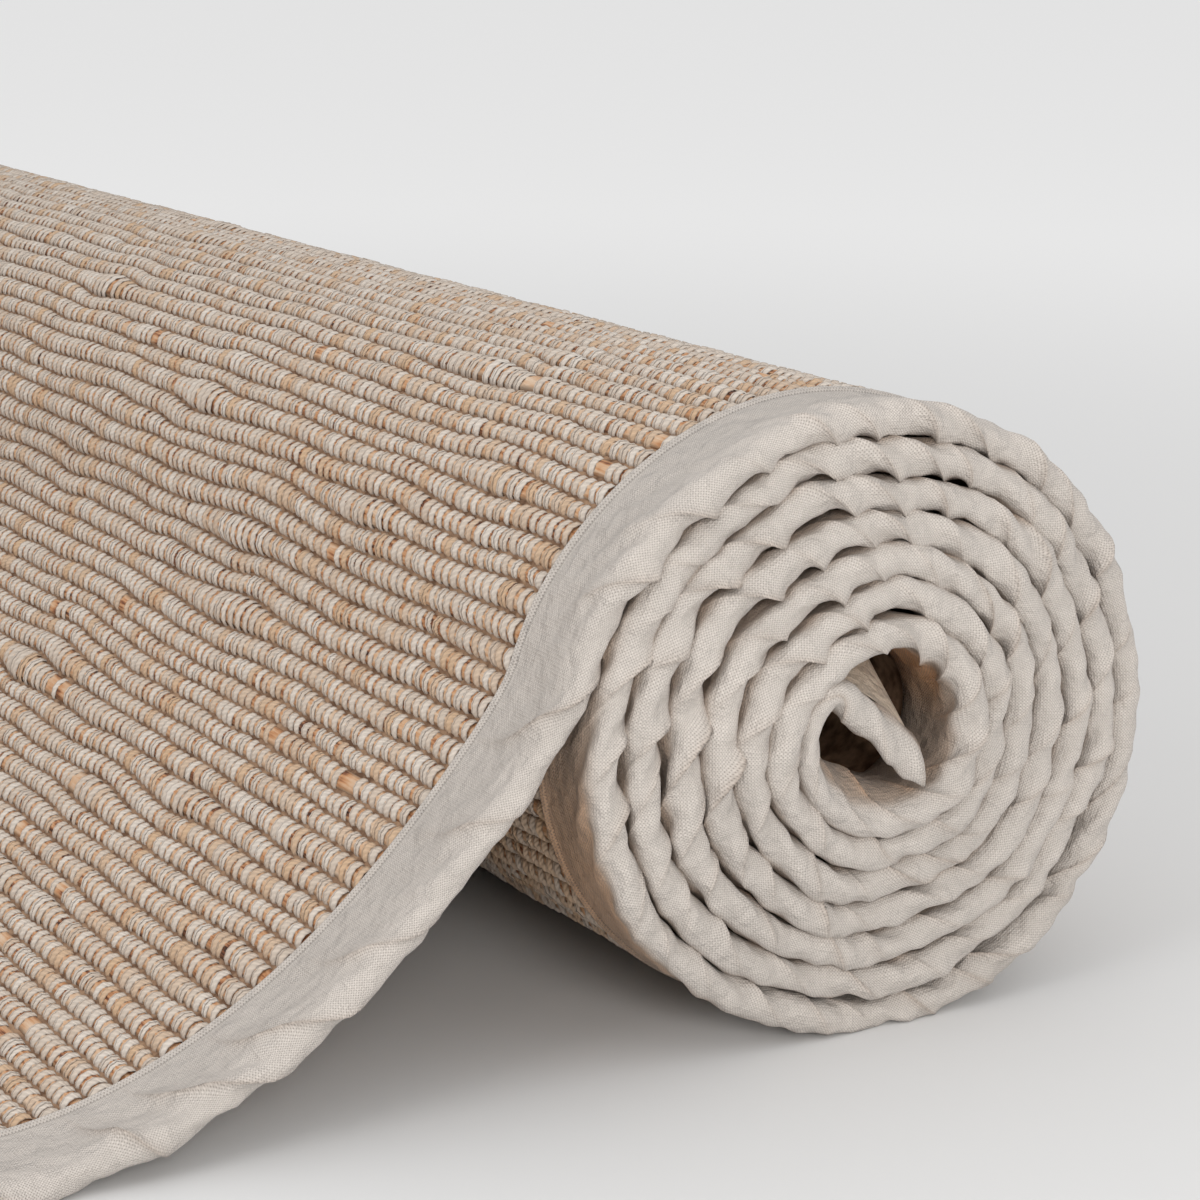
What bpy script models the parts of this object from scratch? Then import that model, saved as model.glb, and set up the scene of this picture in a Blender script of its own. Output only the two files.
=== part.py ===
"""A banana fibre floor mat, rolled up with its outer end left loose on the floor.

Units are metres, +Z is up, and +Y runs along the roll, away from its near end.
The origin is on the floor, under the middle of the whole thing.

The mat is woven from thick banana fibre wefts, which show as straight ribs along the
roll, and it is bound all round with a strip of cotton cloth. Its turns are counted by t:
t = 0 is the outermost layer on the roll's left side, and t grows by one for each turn,
over the top and down the right side, towards the core.
"""

import math

import bmesh
import bpy
from mathutils import Vector

# The mat, as it was cut and bound.
MAT_WIDTH = 0.610
MAT_LENGTH = 1.830
BINDING_WIDTH = 0.021
FIELD_HALF = 0.0024
BINDING_HALF = 0.0027

# The ribs of the weave.
RIB_PITCH = 0.00455
RIB_DEPTH = 0.0007
RIB_SHOULDERS = (0.28, 0.72)

# The roll.
TURN_PITCH = 0.0060
OUTER_RADIUS = 0.0551
ROLL_STRETCH = 1.055
TURN_CUT = 0.04
TURNS = 7
CONE_SLOPE = 0.197
ROLL_SAG = 0.0005
SLACK = 0.0036
SLACK_ANGLE = math.radians(-52.0)
SLACK_SPREAD = math.radians(75.0)
SLACK_FADE_FROM = 0.65
CORE_TAPER_FROM = 0.44
CORE_TAPER = 0.70

# The bound end of each turn, seen on the roll's two end faces.
END_COLUMNS = {"near": 66, "far": 44}
VALLEY_SINK = 0.0019
CREST_RISE = 0.0014
SWELL = 0.0002
SWELL_DEPTH = 0.004
HEM_DEPTH = 0.013
SHOULDER_PLACE = 0.21
PUCKER_LENGTH = 0.021
PUCKER_DEPTH = 0.0011

# The loose end: a curve that leaves the roll, reaches the floor and runs flat.
LEAVE_HANDLE = 0.0100
LAND_HANDLE = 0.0530
LAND_REACH = 0.1000
CURVE_STEPS = 200
CREASE_LENGTH = 0.030
CREASE_DEPTH = 0.0006
EDGE_BULGE = 0.0004
ROOT_LENGTH = 0.040

# The mat's inner end, a cotton tongue across the open core.
TONGUE_LENGTH = 0.029
TONGUE_HALF = 0.0014
TONGUE_ROOT_HALF = 0.0005
TONGUE_SWING = 0.0042
TONGUE_SWING_DEPTH = 0.025

GAP = 0.0003

COTTON = (0.80, 0.74, 0.65)
COTTON_CORE = (0.76, 0.66, 0.55)
WEAVE = (0.66, 0.52, 0.38)


TURN_END = TURN_CUT + TURNS


def smooth(value):
    """Rise from 0 to 1 as value does, without a kink at either end."""
    value = min(max(value, 0.0), 1.0)
    return value * value * (3.0 - 2.0 * value)


def turn_angle(t):
    return math.pi - 2.0 * math.pi * t


def around(t, radius):
    """The point at this turn and radius, as X and Z from the roll's centre."""
    angle = turn_angle(t)
    return (ROLL_STRETCH * radius * math.cos(angle), radius * math.sin(angle))


def layer_thickness(t):
    """The last part of the mat is cotton alone, and is thinner."""
    return TURN_PITCH * (1.0 - CORE_TAPER * smooth((t - TURN_END + CORE_TAPER_FROM) / CORE_TAPER_FROM))


def slack(t):
    """The outer turns lie loose and bulge out at the lower right."""
    away = (turn_angle(t) - SLACK_ANGLE + math.pi) % (2.0 * math.pi) - math.pi
    if abs(away) > SLACK_SPREAD:
        return 0.0
    bulge = 0.5 * (1.0 + math.cos(math.pi * away / SLACK_SPREAD))
    return SLACK * bulge * math.exp(-max(t - SLACK_FADE_FROM, 0.0))


def layer_radius(t, place):
    """The radius across one layer: place is 0.5 at its outer side and -0.5 at its inner side."""
    outer = OUTER_RADIUS - TURN_PITCH * (t - 0.5) + slack(t)
    return outer - (0.5 - place) * layer_thickness(t)


def turn_length(t_from, t_to, steps=400):
    """The length of mat between two places on the spiral."""
    total = 0.0
    last = around(t_from, layer_radius(t_from, 0.0))
    for step in range(1, steps + 1):
        t = t_from + (t_to - t_from) * step / steps
        point = around(t, layer_radius(t, 0.0))
        total += math.dist(last, point)
        last = point
    return total


def lowest_radius(steps=200):
    """How far the outermost turn reaches below the roll's centre."""
    reach = 0.0
    for step in range(steps + 1):
        t = TURN_CUT + step / steps
        reach = max(reach, -around(t, layer_radius(t, 0.0) + BINDING_HALF)[1])
    return reach


# Sizes worked out from the ones above.
ROLL_HEIGHT = lowest_radius() - ROLL_SAG
LOOSE_LENGTH = MAT_LENGTH - turn_length(TURN_CUT, TURN_END) - TONGUE_LENGTH


def loose_curve():
    """The loose end's middle line from the roll to the floor, as a fine list of points."""
    start = Vector(around(TURN_CUT, layer_radius(TURN_CUT, 0.0)))
    before = Vector(around(TURN_CUT + 0.001, layer_radius(TURN_CUT + 0.001, 0.0)))
    leaving = (start - before).normalized()
    landing = Vector((start.x - LAND_REACH, BINDING_HALF - ROLL_HEIGHT))
    handles = (start, start + leaving * LEAVE_HANDLE, landing + Vector((LAND_HANDLE, 0.0)), landing)
    points = []
    for step in range(CURVE_STEPS + 1):
        u = step / CURVE_STEPS
        weights = ((1 - u) ** 3, 3 * (1 - u) ** 2 * u, 3 * (1 - u) * u * u, u ** 3)
        points.append(sum((w * h for w, h in zip(weights, handles)), Vector((0.0, 0.0))))
    return points


LOOSE_CURVE = loose_curve()


def loose_frame(distance):
    """The point, direction and upward normal on the loose end, this far from the roll."""
    left = distance
    for first, second in zip(LOOSE_CURVE, LOOSE_CURVE[1:]):
        piece = (second - first).length
        if left <= piece:
            along = (second - first) / piece
            return first + along * left, along, Vector((along.y, -along.x))
        left -= piece
    along = Vector((-1.0, 0.0))
    return LOOSE_CURVE[-1] + along * left, along, Vector((0.0, 1.0))


def placed(x, y, z):
    """A point given from the roll's centre at its near end, and never below the floor."""
    return Vector((x, y, max(z + ROLL_HEIGHT, 0.0)))


def material(name, colour, roughness):
    made = bpy.data.materials.new(name)
    made.use_nodes = True
    shader = made.node_tree.nodes["Principled BSDF"]
    shader.inputs["Base Color"].default_value = (*colour, 1.0)
    shader.inputs["Roughness"].default_value = roughness
    shader.inputs["Metallic"].default_value = 0.0
    return made


def add_object(name, shape, colour, roughness, sharp_angle=40.0):
    """Turn a bmesh into a named object, with its faces pointing out."""
    bmesh.ops.recalc_face_normals(shape, faces=shape.faces)
    if shape.calc_volume(signed=True) < 0.0:
        bmesh.ops.reverse_faces(shape, faces=shape.faces)
    mesh = bpy.data.meshes.new(name)
    shape.to_mesh(mesh)
    shape.free()
    mesh.materials.append(material(name + "_material", colour, roughness))
    mesh.shade_smooth()
    mesh.set_sharp_from_angle(angle=math.radians(sharp_angle))
    made = bpy.data.objects.new(name, mesh)
    bpy.context.scene.collection.objects.link(made)
    return made


def closed_edges(shape, verts):
    return [shape.edges.new((a, b)) for a, b in zip(verts, verts[1:] + verts[:1])]


def extruded(outlines, start, depth):
    """A flat shape with these outlines, the second one a hole, drawn out along Y."""
    shape = bmesh.new()
    edges = []
    for outline in outlines:
        edges += closed_edges(shape, [shape.verts.new(placed(x, start, z)) for x, z in outline])
    bmesh.ops.triangle_fill(shape, edges=edges, use_beauty=True)
    drawn = bmesh.ops.extrude_face_region(shape, geom=list(shape.faces))
    moved = [item for item in drawn["geom"] if isinstance(item, bmesh.types.BMVert)]
    bmesh.ops.translate(shape, vec=(0.0, depth, 0.0), verts=moved)
    return shape


def ribbed_turn():
    """The outside of the outermost turn: three points for each rib, from the cut and once round."""
    ribs = round(turn_length(TURN_CUT, TURN_CUT + 1.0) / RIB_PITCH)
    outline = []
    for rib in range(ribs):
        for place, sink in ((0.0, RIB_DEPTH), (RIB_SHOULDERS[0], 0.0), (RIB_SHOULDERS[1], 0.0)):
            t = TURN_CUT + (rib + place) / ribs
            outline.append(around(t, layer_radius(t, 0.0) + FIELD_HALF - sink))
    last = TURN_CUT + 1.0
    outline.append(around(last, layer_radius(last, 0.0) + FIELD_HALF - RIB_DEPTH))
    return outline


def core_outline(steps=30):
    """The wall of the open core, the inside of the last turn."""
    outline = []
    for step in range(steps + 1):
        t = TURN_END - 1.0 + step / steps
        outline.append(around(t, layer_radius(t, -0.5)))
    return outline


def make_roll_field():
    depth = MAT_WIDTH - 2.0 * (BINDING_WIDTH + GAP)
    shape = extruded((ribbed_turn(), core_outline()), BINDING_WIDTH + GAP, depth)
    return add_object("roll_field", shape, WEAVE, 0.85)


def pucker(t, phase):
    """How far the binding's edge is drawn in at this place, with folds at uneven spacing."""
    length = 2.0 * math.pi * (OUTER_RADIUS * t - 0.5 * TURN_PITCH * t * t)
    wave = math.sin(2.0 * math.pi * length / PUCKER_LENGTH + phase + 1.1 * math.sin(length / 0.037))
    return PUCKER_DEPTH * wave


def end_face_point(column, columns, place, outermost):
    """A point on the near end face, as X, depth and Z. The depth is that of a turn's puffed edge."""
    t = TURN_CUT + column / columns + place[0]
    across = place[1]
    radius = layer_radius(t, across)
    if outermost:
        radius = layer_radius(t, 0.0) + BINDING_HALF
    depth = -CONE_SLOPE * (OUTER_RADIUS - radius)
    if abs(across) == 0.5:
        depth += VALLEY_SINK
    else:
        depth += pucker(t, 2.0 * across) - CREST_RISE
    x, z = around(t, radius)
    return x, depth, z


class RollEnd:
    """The bound end of the roll: a spiral of puffed layers in front, a plain wall outside and in the core."""

    PLACES = (0.5, SHOULDER_PLACE, -SHOULDER_PLACE)

    def __init__(self, columns, flip):
        self.shape = bmesh.new()
        self.columns = columns
        self.flip = flip
        self.rows = len(self.PLACES) * TURNS
        self.verts = {}
        self.make_face()
        self.make_walls()

    def vert(self, x, depth, z):
        """A far end keeps the mat's width, so its layers stand back where the near end's stand out."""
        if self.flip:
            lean = -CONE_SLOPE * (OUTER_RADIUS - math.hypot(x / ROLL_STRETCH, z))
            depth = MAT_WIDTH - (depth - lean) + lean
        return self.shape.verts.new(placed(x, depth, z))

    def face_vert(self, column, row):
        """The last column of a turn is the first one of the next turn."""
        if column == self.columns and row + len(self.PLACES) <= self.rows:
            return self.face_vert(0, row + len(self.PLACES))
        key = (column, row)
        if key not in self.verts:
            turn, step = divmod(row, len(self.PLACES))
            place = (turn, self.PLACES[step]) if row < self.rows else (TURNS - 1, -0.5)
            first_turn = row == 0 or (column == 0 and row == len(self.PLACES))
            if column == 0 and row == len(self.PLACES):
                place = (1, 0.5)
            self.verts[key] = self.vert(*end_face_point(column, self.columns, place, first_turn))
        return self.verts[key]

    def make_face(self):
        for column in range(self.columns):
            for row in range(self.rows):
                self.shape.faces.new((
                    self.face_vert(column, row),
                    self.face_vert(column, row + 1),
                    self.face_vert(column + 1, row + 1),
                    self.face_vert(column + 1, row),
                ))

    def outer_rim(self):
        rim = [self.face_vert(column, 0) for column in range(self.columns)]
        return rim + [self.face_vert(0, row) for row in range(len(self.PLACES), 0, -1)]

    def inner_rim(self):
        rim = [self.face_vert(column, self.rows) for column in range(self.columns)]
        rows = range(self.rows, self.rows - len(self.PLACES), -1)
        return rim + [self.face_vert(self.columns, row) for row in rows]

    def make_walls(self):
        """Draw both rims back to the woven field, in rings, and close the back."""
        outer = self.ring(self.outer_rim(), SWELL_DEPTH, SWELL)
        outer = self.ring(outer, HEM_DEPTH, FIELD_HALF - BINDING_HALF - SWELL)
        outer = self.ring(outer, BINDING_WIDTH - GAP, 0.0)
        inner = self.ring(self.inner_rim(), BINDING_WIDTH - GAP, 0.0)
        edges = self.edges_round(outer) + self.edges_round(inner)
        bmesh.ops.triangle_fill(self.shape, edges=edges, use_beauty=True)

    def ring(self, rim, depth, grow):
        """Draw a rim to this depth, and outwards or inwards a little."""
        made = []
        for vert in rim:
            z = vert.co.z - ROLL_HEIGHT
            radius = math.hypot(vert.co.x / ROLL_STRETCH, z)
            scale = (radius + grow) / radius
            y = MAT_WIDTH - depth if self.flip else depth
            made.append(self.shape.verts.new(placed(vert.co.x * scale, y, z * scale)))
        for index in range(len(rim)):
            after = (index + 1) % len(rim)
            self.shape.faces.new((rim[index], rim[after], made[after], made[index]))
        return made

    def edges_round(self, verts):
        return [self.shape.edges.get((a, b)) for a, b in zip(verts, verts[1:] + verts[:1])]


def make_roll_binding(side):
    end = RollEnd(END_COLUMNS[side], side == "far")
    return add_object("roll_binding_" + side, end.shape, COTTON, 0.9)


def lofted(rings):
    """A solid through closed rings of points, with flat ends."""
    shape = bmesh.new()
    loops = [[shape.verts.new(point) for point in ring] for ring in rings]
    for first, second in zip(loops, loops[1:]):
        for index in range(len(first)):
            after = (index + 1) % len(first)
            shape.faces.new((first[index], first[after], second[after], second[index]))
    shape.faces.new(loops[0])
    shape.faces.new(reversed(loops[-1]))
    return shape


def loose_point(distance, depth, rise):
    """A point of the loose end: this far from the roll, this deep along Y, and this much above its middle."""
    point, _, normal = loose_frame(distance)
    return placed(point.x + normal.x * rise, depth, point.y + normal.y * rise)


def make_loose_field():
    """The woven field of the loose end, ribbed above and below, from the roll to its end binding."""
    length = LOOSE_LENGTH - BINDING_WIDTH - 2.0 * GAP
    ribs = round(length / RIB_PITCH)
    upper = []
    for rib in range(ribs):
        for place, sink in ((0.0, RIB_DEPTH), (RIB_SHOULDERS[0], 0.0), (RIB_SHOULDERS[1], 0.0)):
            upper.append((GAP + length * (rib + place) / ribs, FIELD_HALF - sink))
    upper.append((GAP + length, FIELD_HALF - RIB_DEPTH))
    lower = [(distance, -rise - (BINDING_HALF - FIELD_HALF) * floor_share(distance))
             for distance, rise in reversed(upper)]
    outline = []
    for distance, rise in upper + lower:
        point, _, normal = loose_frame(distance)
        outline.append((point.x + normal.x * rise, point.y + normal.y * rise))
    depth = MAT_WIDTH - 2.0 * (BINDING_WIDTH + GAP)
    shape = extruded((outline,), BINDING_WIDTH + GAP, depth)
    return add_object("loose_field", shape, WEAVE, 0.85)


def floor_share(distance):
    """0 where the loose end hangs from the roll, and 1 where it lies on the floor."""
    return smooth((distance - 0.100) / 0.020)


def binding_section(distance, crease):
    """Points round the side binding, from its hem over its puffed edge and back, as depth and rise."""
    bulge = EDGE_BULGE + CREASE_DEPTH * crease
    low = -BINDING_HALF
    lift = smooth(distance / ROOT_LENGTH) * (1.0 - floor_share(distance))
    return (
        (BINDING_WIDTH - GAP, FIELD_HALF - 0.0002),
        (0.016, FIELD_HALF - 0.0005 + 0.3 * CREASE_DEPTH * crease),
        (0.0055, BINDING_HALF + bulge),
        (0.0015 - 0.0006 * crease, 0.6 * BINDING_HALF),
        (0.0005 - 0.0010 * crease, -0.2 * BINDING_HALF),
        (0.0020, low),
        (0.0080, low - bulge * lift),
        (BINDING_WIDTH - GAP, low),
    )


def make_loose_binding(side):
    """The side binding of the loose end, with soft creases that cross it."""
    stations = round(LOOSE_LENGTH / CREASE_LENGTH) * 4
    rings = []
    for station in range(stations + 1):
        distance = GAP + (LOOSE_LENGTH - GAP) * station / stations
        crease = math.cos(2.0 * math.pi * station / 4.0)
        ring = []
        for depth, rise in binding_section(distance, crease):
            y = depth if side == "near" else MAT_WIDTH - depth
            ring.append(loose_point(distance, y, rise))
        rings.append(ring)
    return add_object("loose_binding_" + side, lofted(rings), COTTON, 0.9)


def make_loose_binding_end():
    """The binding across the mat's outer end, flat on the floor between the two side bindings."""
    start = LOOSE_LENGTH - BINDING_WIDTH
    depths = [BINDING_WIDTH + GAP, MAT_WIDTH - BINDING_WIDTH - GAP]
    stations = 36
    rings = []
    for station in range(stations + 1):
        y = depths[0] + (depths[1] - depths[0]) * station / stations
        crease = math.cos(2.0 * math.pi * station / 4.0)
        bulge = EDGE_BULGE + CREASE_DEPTH * crease
        section = (
            (start, FIELD_HALF - 0.0002),
            (start + 0.013, FIELD_HALF - 0.0005),
            (LOOSE_LENGTH - 0.0055, BINDING_HALF + bulge),
            (LOOSE_LENGTH - 0.0012, 0.6 * BINDING_HALF),
            (LOOSE_LENGTH, -0.2 * BINDING_HALF),
            (LOOSE_LENGTH - 0.0015, -BINDING_HALF),
            (start, -BINDING_HALF),
        )
        rings.append([loose_point(distance, y, rise) for distance, rise in section])
    return add_object("loose_binding_end", lofted(rings), COTTON, 0.9)


# The tongue's middle line in the core, as X and Z from the roll's centre.
TONGUE_ROUTE = (
    (-0.0128, 0.0061),
    (-0.0110, 0.0077),
    (-0.0086, 0.0068),
    (-0.0048, 0.0028),
    (-0.0003, -0.0018),
    (0.0034, -0.0054),
    (0.0055, -0.0078),
)


def tongue_line(depth):
    """The tongue's middle line at this depth. Behind its near edge it swings up and to the right."""
    root = Vector(around(TURN_END + 0.0035, layer_radius(TURN_END, 0.0)))
    line = [root] + [Vector(point) for point in TONGUE_ROUTE]
    swing = TONGUE_SWING * smooth(depth / TONGUE_SWING_DEPTH)
    along = (line[-1] - line[2]).normalized()
    across = Vector((-along.y, along.x))
    last = len(line) - 1
    for index in range(2, last):
        line[index] += across * swing * math.sin(math.pi * (index - 1) / (last - 1))
    return line


def tongue_ring(depth, thickness):
    """A closed ring round the tongue's middle line: out along one side and back along the other."""
    line = tongue_line(depth)
    upper = []
    lower = []
    for index, point in enumerate(line):
        before = line[max(index - 1, 0)]
        after = line[min(index + 1, len(line) - 1)]
        along = (after - before).normalized()
        across = Vector((-along.y, along.x))
        half = TONGUE_ROOT_HALF if index == 0 else TONGUE_HALF * thickness
        upper.append(point + across * half)
        lower.append(point - across * half)
    return [placed(p.x, depth, p.y) for p in upper + lower[::-1]]


def make_core_binding():
    """The bound inner end of the mat, which crosses the open core along the whole roll."""
    near = -CONE_SLOPE * (OUTER_RADIUS - layer_radius(TURN_END, 0.0)) - 0.5 * CREST_RISE
    far = MAT_WIDTH + near + CREST_RISE
    depths = (near, near + 0.0015, 0.0, 0.012, TONGUE_SWING_DEPTH, far - 0.0015, far)
    fullness = (0.55, 1.0, 1.0, 1.0, 1.0, 1.0, 0.55)
    shape = lofted([tongue_ring(depth, full) for depth, full in zip(depths, fullness)])
    return add_object("core_binding", shape, COTTON_CORE, 0.9)


def centre_on_floor(pieces):
    """Place the pieces so that the middle of the whole thing is over the origin."""
    points = [vert.co for piece in pieces for vert in piece.data.vertices]
    middle_x = 0.5 * (min(p.x for p in points) + max(p.x for p in points))
    middle_y = 0.5 * (min(p.y for p in points) + max(p.y for p in points))
    for piece in pieces:
        piece.location = (-middle_x, -middle_y, 0.0)


def main():
    for old in list(bpy.data.objects):
        bpy.data.objects.remove(old, do_unlink=True)
    pieces = [make_roll_field(), make_core_binding(), make_loose_field(), make_loose_binding_end()]
    for side in ("near", "far"):
        pieces += [make_roll_binding(side), make_loose_binding(side)]
    centre_on_floor(pieces)


main()
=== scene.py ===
"""The looks of a rolled banana fibre mat: its ribs and yarn loops, and its puckered cotton binding.

Every place on the mat is given by s, the distance along the mat from where it leaves the
roll (positive into the roll, negative along the loose end), by y, the distance across the
mat from its near edge, and by a rise above its middle, towards the face that shows.
Across a strip of binding, v is the distance from its fold at the mat's edge, negative on
the face that shows and positive on the other. Turns are counted by t, from the outermost.
All sizes are in metres. A bump is given by its amount, its place and its reach, and a rise
by its start and its length.
"""

import math

import bpy
import numpy as np
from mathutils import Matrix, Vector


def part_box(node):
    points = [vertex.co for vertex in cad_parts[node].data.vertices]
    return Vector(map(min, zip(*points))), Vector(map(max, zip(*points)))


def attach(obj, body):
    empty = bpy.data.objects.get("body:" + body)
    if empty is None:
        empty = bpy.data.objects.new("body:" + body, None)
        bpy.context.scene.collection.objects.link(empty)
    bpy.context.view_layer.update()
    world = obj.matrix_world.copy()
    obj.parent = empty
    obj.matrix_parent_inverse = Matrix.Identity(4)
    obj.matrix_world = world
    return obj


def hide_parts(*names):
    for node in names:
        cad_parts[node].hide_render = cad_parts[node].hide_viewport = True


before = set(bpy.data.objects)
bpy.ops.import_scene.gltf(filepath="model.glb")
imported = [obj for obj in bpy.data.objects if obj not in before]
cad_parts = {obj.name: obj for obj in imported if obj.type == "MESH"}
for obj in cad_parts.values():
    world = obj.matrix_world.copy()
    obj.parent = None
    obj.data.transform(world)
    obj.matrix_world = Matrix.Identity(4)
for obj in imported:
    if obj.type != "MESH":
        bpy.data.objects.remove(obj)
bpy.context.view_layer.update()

MM = 0.001

# The mat and its roll, with the same driving sizes as the solids.
MAT_WIDTH = 0.610
MAT_LENGTH = 1.830
BINDING_WIDTH = 0.021
BINDING_HALF = 0.0027
BINDING_GAP = 0.0003
TURN_PITCH = 0.0060
OUTER_RADIUS = 0.0551
ROLL_STRETCH = 1.055
TURN_CUT = 0.04
TURNS = 7
TURN_END = TURN_CUT + TURNS
CONE_SLOPE = 0.197
ROLL_SAG = 0.0005
SLACK = 0.0036
SLACK_ANGLE = math.radians(-52.0)
SLACK_SPREAD = math.radians(75.0)
SLACK_FADE_FROM = 0.65
CORE_TAPER_FROM = 0.44
CORE_TAPER = 0.70
LEAVE_HANDLE = 0.0100
LAND_HANDLE = 0.0530
LAND_REACH = 0.1000
TONGUE_LENGTH = 0.029
TONGUE_SWING_DEPTH = 0.022
FLOOR_LIFT = 0.0001

# The tongue's middle line in the core, as X and Z from the roll's centre.
TONGUE_ROUTE = (
    (-0.0134, 0.0068),
    (-0.0124, 0.0092),
    (-0.0100, 0.0086),
    (-0.0064, 0.0046),
    (-0.0020, -0.0004),
    (0.0022, -0.0050),
    (0.0048, -0.0080),
)

# The same line deeper in, where the tongue hugs the core's top.
DEEP_ROUTE = (
    (-0.0128, 0.0075),
    (-0.0098, 0.0106),
    (-0.0050, 0.0128),
    (0.0008, 0.0130),
    (0.0046, 0.0112),
    (0.0070, 0.0082),
)

# How finely the mat's line is worked out.
WOUND_STEPS = 7001
TONGUE_STEPS = 160
DROP_STEPS = 801
FLAT_STEPS = 401
CORNER_CUTS = 4
EVENED_POINTS = 9

# Slow unevenness.
CONE_RISE = (0.0, 0.01)
LOOSE_EDGE_BACK = (0.0018, -0.022, 0.034)
OUTER_TURN_OUT = (0.0014, 0.036, 0.028)
WARP = 0.0011
WARP_RISE = (0.5, 1.2)
WARP_GONE_RISE = (0.008, 0.012)
WARP_X_WAVES = (150.0, 0.7, 120.0, 0.3)
WARP_Z_WAVES = (130.0, 1.9, 160.0, 2.1)

# The ribs.
RIB_PITCH = 0.00455
BODY_HEIGHT = 0.00205
RIB_SEED = 11
RIBBED_TURNS = 1.03
FIRST_RIB_UNDER_HEM = 0.001
RIB_TABLE_MARGIN = 0.002
RIB_TABLE_STEPS = 280
SPREAD_RIBS = 3.5
RIB_UNEVENNESS = 0.08
RIB_WAVES = (0.11, 0.05, 0.023)
RIB_WAVE = 0.04
RIB_HEIGHT_POWER = 0.75
SLUBS_PER_RIB = 1.2
SLUB_PLACES = (0.03, 0.58)
SLUB_GROWTH = (0.20, 0.75)
SLUB_REACH = (0.006, 0.022)
HEM_COVER = 0.0015
HEM_TUCK = 0.0022
TUCKED_SHARE = 0.55
FULL_SHARE = 0.45
LAST_LOOSE_RIB = -0.001

# The yarn loops over the ribs.
LOOP_PITCH = 0.0030
LOOP_RISE = 0.00045
LOOP_MARGIN = 0.0006
LOOP_CHANCE = 0.00022
LOOP_ARC = math.radians(84.0)
LOOP_HALF_SHARE = 0.34
LOOP_HALF_CHANCE = 0.13
LOOP_END_WIDTH = 0.82
LOOP_TOP_WIDER = 0.18
LOOP_RISE_LEAST = 0.75
LOOP_RISE_CHANCE = 0.5
LOOP_BULGE = 0.4
LOOP_EDGE_SINK = 0.00012
LOOP_LIFT = 0.0001
LOOP_SLANT = 0.0006
LOOP_SLANT_CHANCE = 0.0008
LOOP_SWAY = 0.0003
THREE_STRANDS_FROM = 0.8
LOOPS_DROPPED = 0.008
LOOP_WARM_SHADE_AND_FIBRE = 0.85

# The ground cloth.
GROUND_MARGIN = 0.006
GROUND_END_MARGIN = 0.004
GROUND_HALF = 0.0010
GROUND_STEP = 0.0030
GROUND_MIDDLE_FROM = 0.06

# The section of a cotton strip.
NOSE_RADIUS = 0.0030
NOSE_ARC = 0.5 * math.pi * NOSE_RADIUS
FACE_DROP = 0.00085
FACE_DROP_OVER = 0.010
PIPING = (0.00070, BINDING_WIDTH - 0.0006, 0.0005)
PIPING_GROOVE = (0.00035, BINDING_WIDTH - 0.0018, 0.0006)
HEM_DROP = 0.0016
HEM_DROP_EARLY = 0.0001
HEM_DROP_OVER = 0.0012
HEM_END = BINDING_WIDTH + 0.0002
HELD_TO = 0.0008
HELD_OVER = 0.004
SLOPE_STEP = 0.00005
CORNER = 0.003

# How thick the strip is along the mat, as shares of the section.
LOOSE_THICKNESS = 0.86
ROLL_THICKER = 0.14
ROLL_THICKER_RISE = (-0.01, 0.03)
CORE_THINNER = 0.42
TONGUE_FULL_RISE = (0.002, 0.008)
TONGUE_FULL_TO = 0.0095
TONGUE_FULL_FADE = 0.0035

# Where the columns of a strip's mesh lie across it: close together at the hems and the fold.
NEAR_COLUMNS = MM * np.array([
    -24.3, -23.5, -23.1, -22.7, -22.3, -21.9, -21.3, -20.0, -18.2, -16.2, -14.2, -12.4, -10.8, -9.3, -8.0,
    -6.8, -5.7, -4.7, -3.7, -2.8, -1.9, -0.9, 0.0, 0.9, 1.9, 2.8, 3.7, 4.7, 5.7, 6.8, 8.0, 9.5, 11.5, 14.0,
    17.5, 21.5, 23.8,
])
FAR_COLUMNS = MM * np.array([
    -24.0, -23.2, -22.6, -22.0, -20.0, -16.0, -12.5, -9.5, -7.0, -5.2, -3.7, -2.4, -1.2, 0.0, 1.2, 2.4,
    3.7, 5.2, 7.0, 9.5, 13.0, 18.0, 23.5,
])
TONGUE_HALF_COLUMNS = MM * np.array([1.2, 2.4, 3.6, 5.0, 7.0, 10.0, 14.0, 18.0, 22.0, 25.0])

# Where the rows of a strip's mesh lie between one tuck and the next.
NEAR_STEPS = np.array([0.0, 0.04, 0.10, 0.19, 0.31, 0.44, 0.57, 0.69, 0.79, 0.865, 0.92, 0.955, 0.98])
FAR_STEPS = np.array([0.0, 0.1, 0.3, 0.55, 0.78, 0.9, 0.96])

# The tucks in a strip. Two values are the least and the greatest, except in a rise.
TUCK_OVERRUN = 0.02
LOOSE_SPACING = (0.013, 0.024)
SPACING_LESS_ON_ROLL = (0.005, 0.007)
LOOSE_HEIGHT = (1.2, 2.5)
HEIGHT_LESS_ON_ROLL = (0.5, 0.4)
ROLL_RISE = (-0.02, 0.08)
LOW_TUCKS_POWER = 1.4
TUCK_SLOPES = (0.75, 1.75)
TUCK_SLANT_DEPTH = 0.010
TUCK_CENTRES = (1.0, 5.0)
TUCK_REACHES = (4.5, 7.5)
LOOSE_TUCK_CENTRE = 5.0
LOOSE_TUCK_REACH = 4.0
ROLL_TUCK_RISE = (-0.02, 0.06)
TUCK_AT_CENTRE = 0.92
TUCK_AT_HEM = 0.08
STEEP_SHARE = 0.55
STEEP_TAIL = 0.0012
GENTLE_SHARE = 0.45
GENTLE_TAIL = 0.20
FRONT_TAIL = 0.0011
SAG = 0.225
SAG_SKEW = 1.6
PUSH = 0.25
PUSH_PLACE = 0.0016
PUSH_REACH = 0.0014
# Painted shade at each tuck: how far it trails behind and in front, and the tuck height that gives full
# shade.
SHADE_TAIL = 0.0009
SHADE_FRONT = 0.0006
SHADE_HEIGHT = 0.0034
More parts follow.
